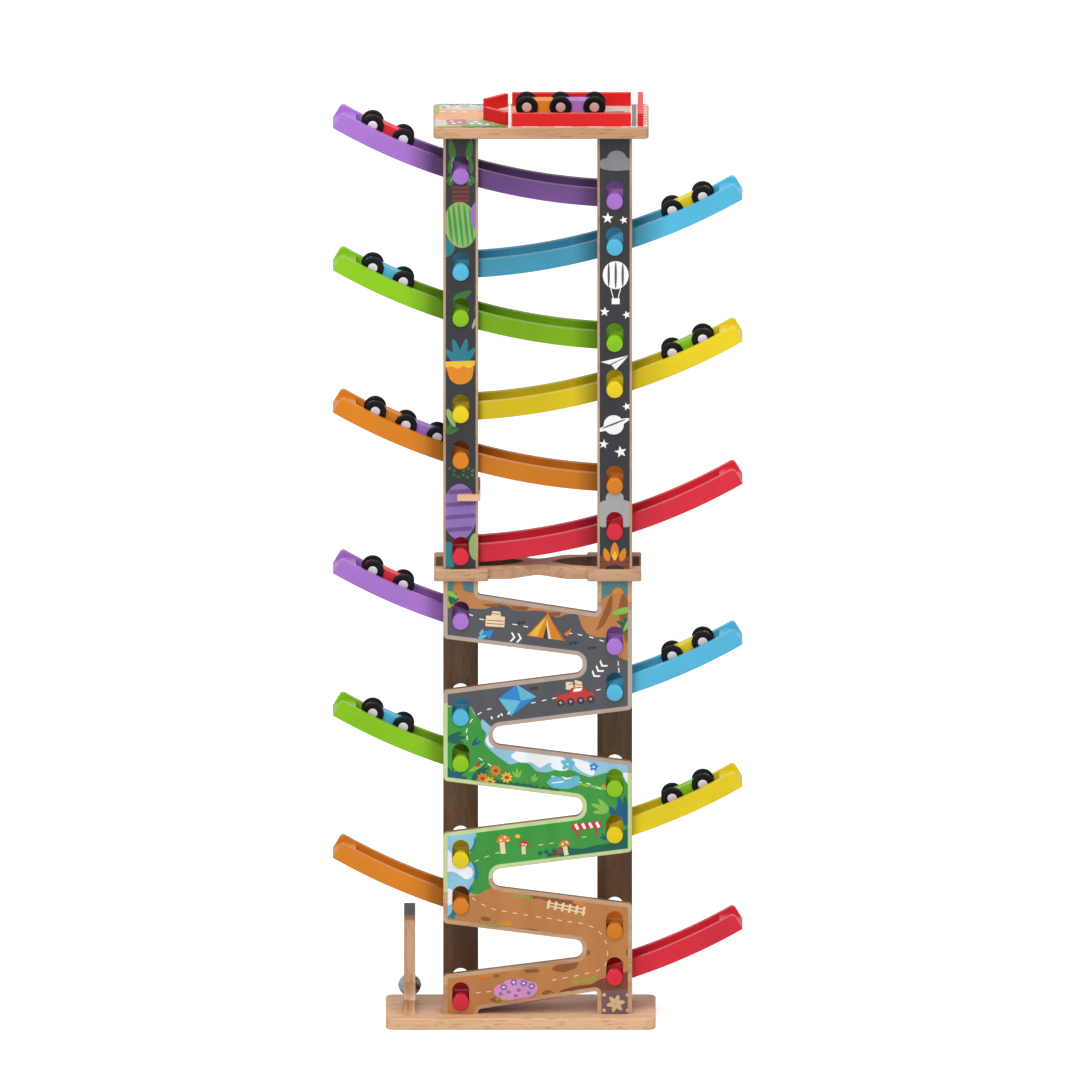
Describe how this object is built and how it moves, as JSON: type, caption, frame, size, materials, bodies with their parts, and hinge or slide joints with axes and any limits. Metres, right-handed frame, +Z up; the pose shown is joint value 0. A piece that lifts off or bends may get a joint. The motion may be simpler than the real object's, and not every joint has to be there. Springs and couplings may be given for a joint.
{
  "type": "wooden toy car ramp",
  "caption": "Two-tier wooden tower of curved, coloured zigzag tracks with small rolling cars, a parking deck on top and a bell board on the base.",
  "frame": {"origin": "centre of the object's bounding box at the floor; X = 0 is halfway between the two columns of posts and Y = 0 halfway between the front and rear panels", "axes": "+X to the right of the printed front, +Y from the front to the back, +Z up"},
  "size_m": [0.41, 0.095, 0.9567],
  "materials": {
    "light_wood": "clear satin lacquer over pale plywood and solid wood",
    "printed_wood": "plywood with a printed, satin varnished face",
    "purple_wood": "satin paint",
    "blue_wood": "satin paint",
    "green_wood": "satin paint",
    "yellow_wood": "satin paint",
    "orange_wood": "satin paint",
    "red_wood": "satin paint",
    "pen_red_wood": "satin paint",
    "wheel_black": "smooth satin black",
    "bell_metal": "thin bright metal"
  },
  "bodies": {
    "tower": {"base_board": "light_wood", "lower_front_panel": "printed_wood", "lower_rear_posts": "light_wood", "middle_plate": "light_wood", "upper_front_posts": "printed_wood", "upper_rear_posts": "light_wood", "top_board": "printed_wood", "parking_side_rails": "pen_red_wood", "parking_funnel_rails": "pen_red_wood", "parking_end_stop": "pen_red_wood", "bell_board": "printed_wood", "post_clip": "light_wood", "track_pegs": "orange_wood", "upper_purple_track": "purple_wood", "upper_blue_track": "blue_wood", "upper_green_track": "green_wood", "upper_yellow_track": "yellow_wood", "upper_orange_track": "orange_wood", "upper_red_track": "red_wood", "lower_purple_track": "purple_wood", "lower_blue_track": "blue_wood", "lower_green_track": "green_wood", "lower_yellow_track": "yellow_wood", "lower_orange_track": "orange_wood", "lower_red_track": "red_wood"},
    "bell": {"bell": "bell_metal"},
    "upper_red_car_body": {"upper_red_car_body": "red_wood"},
    "upper_red_car_front_wheels": {"upper_red_car_front_wheels": "wheel_black"},
    "upper_red_car_rear_wheels": {"upper_red_car_rear_wheels": "wheel_black"},
    "upper_yellow_car_body": {"upper_yellow_car_body": "yellow_wood"},
    "upper_yellow_car_front_wheels": {"upper_yellow_car_front_wheels": "wheel_black"},
    "upper_yellow_car_rear_wheels": {"upper_yellow_car_rear_wheels": "wheel_black"},
    "upper_blue_car_body": {"upper_blue_car_body": "blue_wood"},
    "upper_blue_car_front_wheels": {"upper_blue_car_front_wheels": "wheel_black"},
    "upper_blue_car_rear_wheels": {"upper_blue_car_rear_wheels": "wheel_black"},
    "upper_green_car_body": {"upper_green_car_body": "green_wood"},
    "upper_green_car_front_wheels": {"upper_green_car_front_wheels": "wheel_black"},
    "upper_green_car_rear_wheels": {"upper_green_car_rear_wheels": "wheel_black"},
    "lower_red_car_body": {"lower_red_car_body": "red_wood"},
    "lower_red_car_front_wheels": {"lower_red_car_front_wheels": "wheel_black"},
    "lower_red_car_rear_wheels": {"lower_red_car_rear_wheels": "wheel_black"},
    "lower_yellow_car_body": {"lower_yellow_car_body": "yellow_wood"},
    "lower_yellow_car_front_wheels": {"lower_yellow_car_front_wheels": "wheel_black"},
    "lower_yellow_car_rear_wheels": {"lower_yellow_car_rear_wheels": "wheel_black"},
    "lower_blue_car_body": {"lower_blue_car_body": "blue_wood"},
    "lower_blue_car_front_wheels": {"lower_blue_car_front_wheels": "wheel_black"},
    "lower_blue_car_rear_wheels": {"lower_blue_car_rear_wheels": "wheel_black"},
    "lower_green_car_body": {"lower_green_car_body": "green_wood"},
    "lower_green_car_front_wheels": {"lower_green_car_front_wheels": "wheel_black"},
    "lower_green_car_rear_wheels": {"lower_green_car_rear_wheels": "wheel_black"},
    "track_train_orange_body": {"track_train_orange_body": "orange_wood"},
    "track_train_purple_body": {"track_train_purple_body": "purple_wood"},
    "track_train_middle_wheels": {"track_train_middle_wheels": "wheel_black"},
    "track_train_orange_wheels": {"track_train_orange_wheels": "wheel_black"},
    "track_train_purple_wheels": {"track_train_purple_wheels": "wheel_black"},
    "deck_train_orange_body": {"deck_train_orange_body": "orange_wood"},
    "deck_train_purple_body": {"deck_train_purple_body": "purple_wood"},
    "deck_train_middle_wheels": {"deck_train_middle_wheels": "wheel_black"},
    "deck_train_orange_wheels": {"deck_train_orange_wheels": "wheel_black"},
    "deck_train_purple_wheels": {"deck_train_purple_wheels": "wheel_black"}
  },
  "joints": [
    {"name": "bell_swing", "type": "hinge", "parent": "tower", "child": "bell", "pos_m": [-0.128, 0, 0.0494], "axis": [0, 1, 0], "range_deg": [-20, 20]},
    {"name": "upper_red_car_roll", "type": "hinge", "parent": "tower", "child": "upper_red_car_body", "pos_m": [0.0962, 0, 1.4375], "axis": [0, 1, 0], "range_deg": [-22, 0]},
    {"name": "upper_red_car_front_wheels_spin", "type": "hinge", "parent": "upper_red_car_body", "child": "upper_red_car_front_wheels", "pos_m": [-0.13453, 0, 0.91191], "axis": [0, 1, 0], "continuous": true},
    {"name": "upper_red_car_rear_wheels_spin", "type": "hinge", "parent": "upper_red_car_body", "child": "upper_red_car_rear_wheels", "pos_m": [-0.16506, 0, 0.92641], "axis": [0, 1, 0], "continuous": true},
    {"name": "upper_yellow_car_roll", "type": "hinge", "parent": "tower", "child": "upper_yellow_car_body", "pos_m": [-0.0962, 0, 1.36384], "axis": [0, 1, 0], "range_deg": [0, 22]},
    {"name": "upper_yellow_car_front_wheels_spin", "type": "hinge", "parent": "upper_yellow_car_body", "child": "upper_yellow_car_front_wheels", "pos_m": [0.13453, 0, 0.83825], "axis": [0, 1, 0], "continuous": true},
    {"name": "upper_yellow_car_rear_wheels_spin", "type": "hinge", "parent": "upper_yellow_car_body", "child": "upper_yellow_car_rear_wheels", "pos_m": [0.16506, 0, 0.85274], "axis": [0, 1, 0], "continuous": true},
    {"name": "upper_blue_car_roll", "type": "hinge", "parent": "tower", "child": "upper_blue_car_body", "pos_m": [0.0962, 0, 1.29018], "axis": [0, 1, 0], "range_deg": [-22, 0]},
    {"name": "upper_blue_car_front_wheels_spin", "type": "hinge", "parent": "upper_blue_car_body", "child": "upper_blue_car_front_wheels", "pos_m": [-0.13453, 0, 0.76459], "axis": [0, 1, 0], "continuous": true},
    {"name": "upper_blue_car_rear_wheels_spin", "type": "hinge", "parent": "upper_blue_car_body", "child": "upper_blue_car_rear_wheels", "pos_m": [-0.16506, 0, 0.77909], "axis": [0, 1, 0], "continuous": true},
    {"name": "upper_green_car_roll", "type": "hinge", "parent": "tower", "child": "upper_green_car_body", "pos_m": [-0.0962, 0, 1.21652], "axis": [0, 1, 0], "range_deg": [0, 22]},
    {"name": "upper_green_car_front_wheels_spin", "type": "hinge", "parent": "upper_green_car_body", "child": "upper_green_car_front_wheels", "pos_m": [0.13453, 0, 0.69093], "axis": [0, 1, 0], "continuous": true},
    {"name": "upper_green_car_rear_wheels_spin", "type": "hinge", "parent": "upper_green_car_body", "child": "upper_green_car_rear_wheels", "pos_m": [0.16506, 0, 0.70542], "axis": [0, 1, 0], "continuous": true},
    {"name": "lower_red_car_roll", "type": "hinge", "parent": "tower", "child": "lower_red_car_body", "pos_m": [0.0962, 0, 0.9765], "axis": [0, 1, 0], "range_deg": [-22, 0]},
    {"name": "lower_red_car_front_wheels_spin", "type": "hinge", "parent": "lower_red_car_body", "child": "lower_red_car_front_wheels", "pos_m": [-0.13453, 0, 0.45091], "axis": [0, 1, 0], "continuous": true},
    {"name": "lower_red_car_rear_wheels_spin", "type": "hinge", "parent": "lower_red_car_body", "child": "lower_red_car_rear_wheels", "pos_m": [-0.16506, 0, 0.46541], "axis": [0, 1, 0], "continuous": true},
    {"name": "lower_yellow_car_roll", "type": "hinge", "parent": "tower", "child": "lower_yellow_car_body", "pos_m": [-0.0962, 0, 0.90284], "axis": [0, 1, 0], "range_deg": [0, 22]},
    {"name": "lower_yellow_car_front_wheels_spin", "type": "hinge", "parent": "lower_yellow_car_body", "child": "lower_yellow_car_front_wheels", "pos_m": [0.13453, 0, 0.37725], "axis": [0, 1, 0], "continuous": true},
    {"name": "lower_yellow_car_rear_wheels_spin", "type": "hinge", "parent": "lower_yellow_car_body", "child": "lower_yellow_car_rear_wheels", "pos_m": [0.16506, 0, 0.39175], "axis": [0, 1, 0], "continuous": true},
    {"name": "lower_blue_car_roll", "type": "hinge", "parent": "tower", "child": "lower_blue_car_body", "pos_m": [0.0962, 0, 0.82918], "axis": [0, 1, 0], "range_deg": [-22, 0]},
    {"name": "lower_blue_car_front_wheels_spin", "type": "hinge", "parent": "lower_blue_car_body", "child": "lower_blue_car_front_wheels", "pos_m": [-0.13453, 0, 0.30359], "axis": [0, 1, 0], "continuous": true},
    {"name": "lower_blue_car_rear_wheels_spin", "type": "hinge", "parent": "lower_blue_car_body", "child": "lower_blue_car_rear_wheels", "pos_m": [-0.16506, 0, 0.31809], "axis": [0, 1, 0], "continuous": true},
    {"name": "lower_green_car_roll", "type": "hinge", "parent": "tower", "child": "lower_green_car_body", "pos_m": [-0.0962, 0, 0.75552], "axis": [0, 1, 0], "range_deg": [0, 22]},
    {"name": "lower_green_car_front_wheels_spin", "type": "hinge", "parent": "lower_green_car_body", "child": "lower_green_car_front_wheels", "pos_m": [0.13453, 0, 0.22993], "axis": [0, 1, 0], "continuous": true},
    {"name": "lower_green_car_rear_wheels_spin", "type": "hinge", "parent": "lower_green_car_body", "child": "lower_green_car_rear_wheels", "pos_m": [0.16506, 0, 0.24443], "axis": [0, 1, 0], "continuous": true},
    {"name": "track_train_roll", "type": "hinge", "parent": "tower", "child": "track_train_orange_body", "pos_m": [0.0962, 0, 1.14286], "axis": [0, 1, 0], "range_deg": [-18.3, 0.3]},
    {"name": "track_train_hitch", "type": "hinge", "parent": "track_train_orange_body", "child": "track_train_purple_body", "pos_m": [-0.1319, 0, 0.61613], "axis": [0, -1, 0], "range_deg": [0, 15]},
    {"name": "track_train_middle_wheels_spin", "type": "hinge", "parent": "track_train_orange_body", "child": "track_train_middle_wheels", "pos_m": [-0.1319, 0, 0.61613], "axis": [0, 1, 0], "continuous": true},
    {"name": "track_train_orange_wheels_spin", "type": "hinge", "parent": "track_train_orange_body", "child": "track_train_orange_wheels", "pos_m": [-0.16251, 0, 0.63047], "axis": [0, 1, 0], "continuous": true},
    {"name": "track_train_purple_wheels_spin", "type": "hinge", "parent": "track_train_purple_body", "child": "track_train_purple_wheels", "pos_m": [-0.1005, 0, 0.60362], "axis": [0, 1, 0], "continuous": true},
    {"name": "deck_train_roll", "type": "slide", "parent": "tower", "child": "deck_train_orange_body", "axis": [1, 0, 0], "range_m": [-0.08, 0.031]},
    {"name": "deck_train_hitch", "type": "hinge", "parent": "deck_train_orange_body", "child": "deck_train_purple_body", "pos_m": [0.0229, 0, 0.9455], "axis": [0, -1, 0], "range_deg": [0, 15]},
    {"name": "deck_train_middle_wheels_spin", "type": "hinge", "parent": "deck_train_orange_body", "child": "deck_train_middle_wheels", "pos_m": [0.0229, 0, 0.9455], "axis": [0, 1, 0], "continuous": true},
    {"name": "deck_train_orange_wheels_spin", "type": "hinge", "parent": "deck_train_orange_body", "child": "deck_train_orange_wheels", "pos_m": [-0.0109, 0, 0.9455], "axis": [0, 1, 0], "continuous": true},
    {"name": "deck_train_purple_wheels_spin", "type": "hinge", "parent": "deck_train_purple_body", "child": "deck_train_purple_wheels", "pos_m": [0.0567, 0, 0.9455], "axis": [0, 1, 0], "continuous": true}
  ],
  "couplings": [
    {"joint": "upper_red_car_front_wheels_spin", "follows": "upper_red_car_roll", "ratio": -52.25},
    {"joint": "upper_red_car_rear_wheels_spin", "follows": "upper_red_car_roll", "ratio": -52.25},
    {"joint": "upper_yellow_car_front_wheels_spin", "follows": "upper_yellow_car_roll", "ratio": -52.25},
    {"joint": "upper_yellow_car_rear_wheels_spin", "follows": "upper_yellow_car_roll", "ratio": -52.25},
    {"joint": "upper_blue_car_front_wheels_spin", "follows": "upper_blue_car_roll", "ratio": -52.25},
    {"joint": "upper_blue_car_rear_wheels_spin", "follows": "upper_blue_car_roll", "ratio": -52.25},
    {"joint": "upper_green_car_front_wheels_spin", "follows": "upper_green_car_roll", "ratio": -52.25},
    {"joint": "upper_green_car_rear_wheels_spin", "follows": "upper_green_car_roll", "ratio": -52.25},
    {"joint": "lower_red_car_front_wheels_spin", "follows": "lower_red_car_roll", "ratio": -52.25},
    {"joint": "lower_red_car_rear_wheels_spin", "follows": "lower_red_car_roll", "ratio": -52.25},
    {"joint": "lower_yellow_car_front_wheels_spin", "follows": "lower_yellow_car_roll", "ratio": -52.25},
    {"joint": "lower_yellow_car_rear_wheels_spin", "follows": "lower_yellow_car_roll", "ratio": -52.25},
    {"joint": "lower_blue_car_front_wheels_spin", "follows": "lower_blue_car_roll", "ratio": -52.25},
    {"joint": "lower_blue_car_rear_wheels_spin", "follows": "lower_blue_car_roll", "ratio": -52.25},
    {"joint": "lower_green_car_front_wheels_spin", "follows": "lower_green_car_roll", "ratio": -52.25},
    {"joint": "lower_green_car_rear_wheels_spin", "follows": "lower_green_car_roll", "ratio": -52.25},
    {"joint": "track_train_middle_wheels_spin", "follows": "track_train_roll", "ratio": -52.25},
    {"joint": "track_train_orange_wheels_spin", "follows": "track_train_roll", "ratio": -52.25},
    {"joint": "track_train_purple_wheels_spin", "follows": "track_train_roll", "ratio": -52.25},
    {"joint": "deck_train_middle_wheels_spin", "follows": "deck_train_roll", "rad_per_m": 89.286},
    {"joint": "deck_train_orange_wheels_spin", "follows": "deck_train_roll", "rad_per_m": 89.286},
    {"joint": "deck_train_purple_wheels_spin", "follows": "deck_train_roll", "rad_per_m": 89.286}
  ]
}
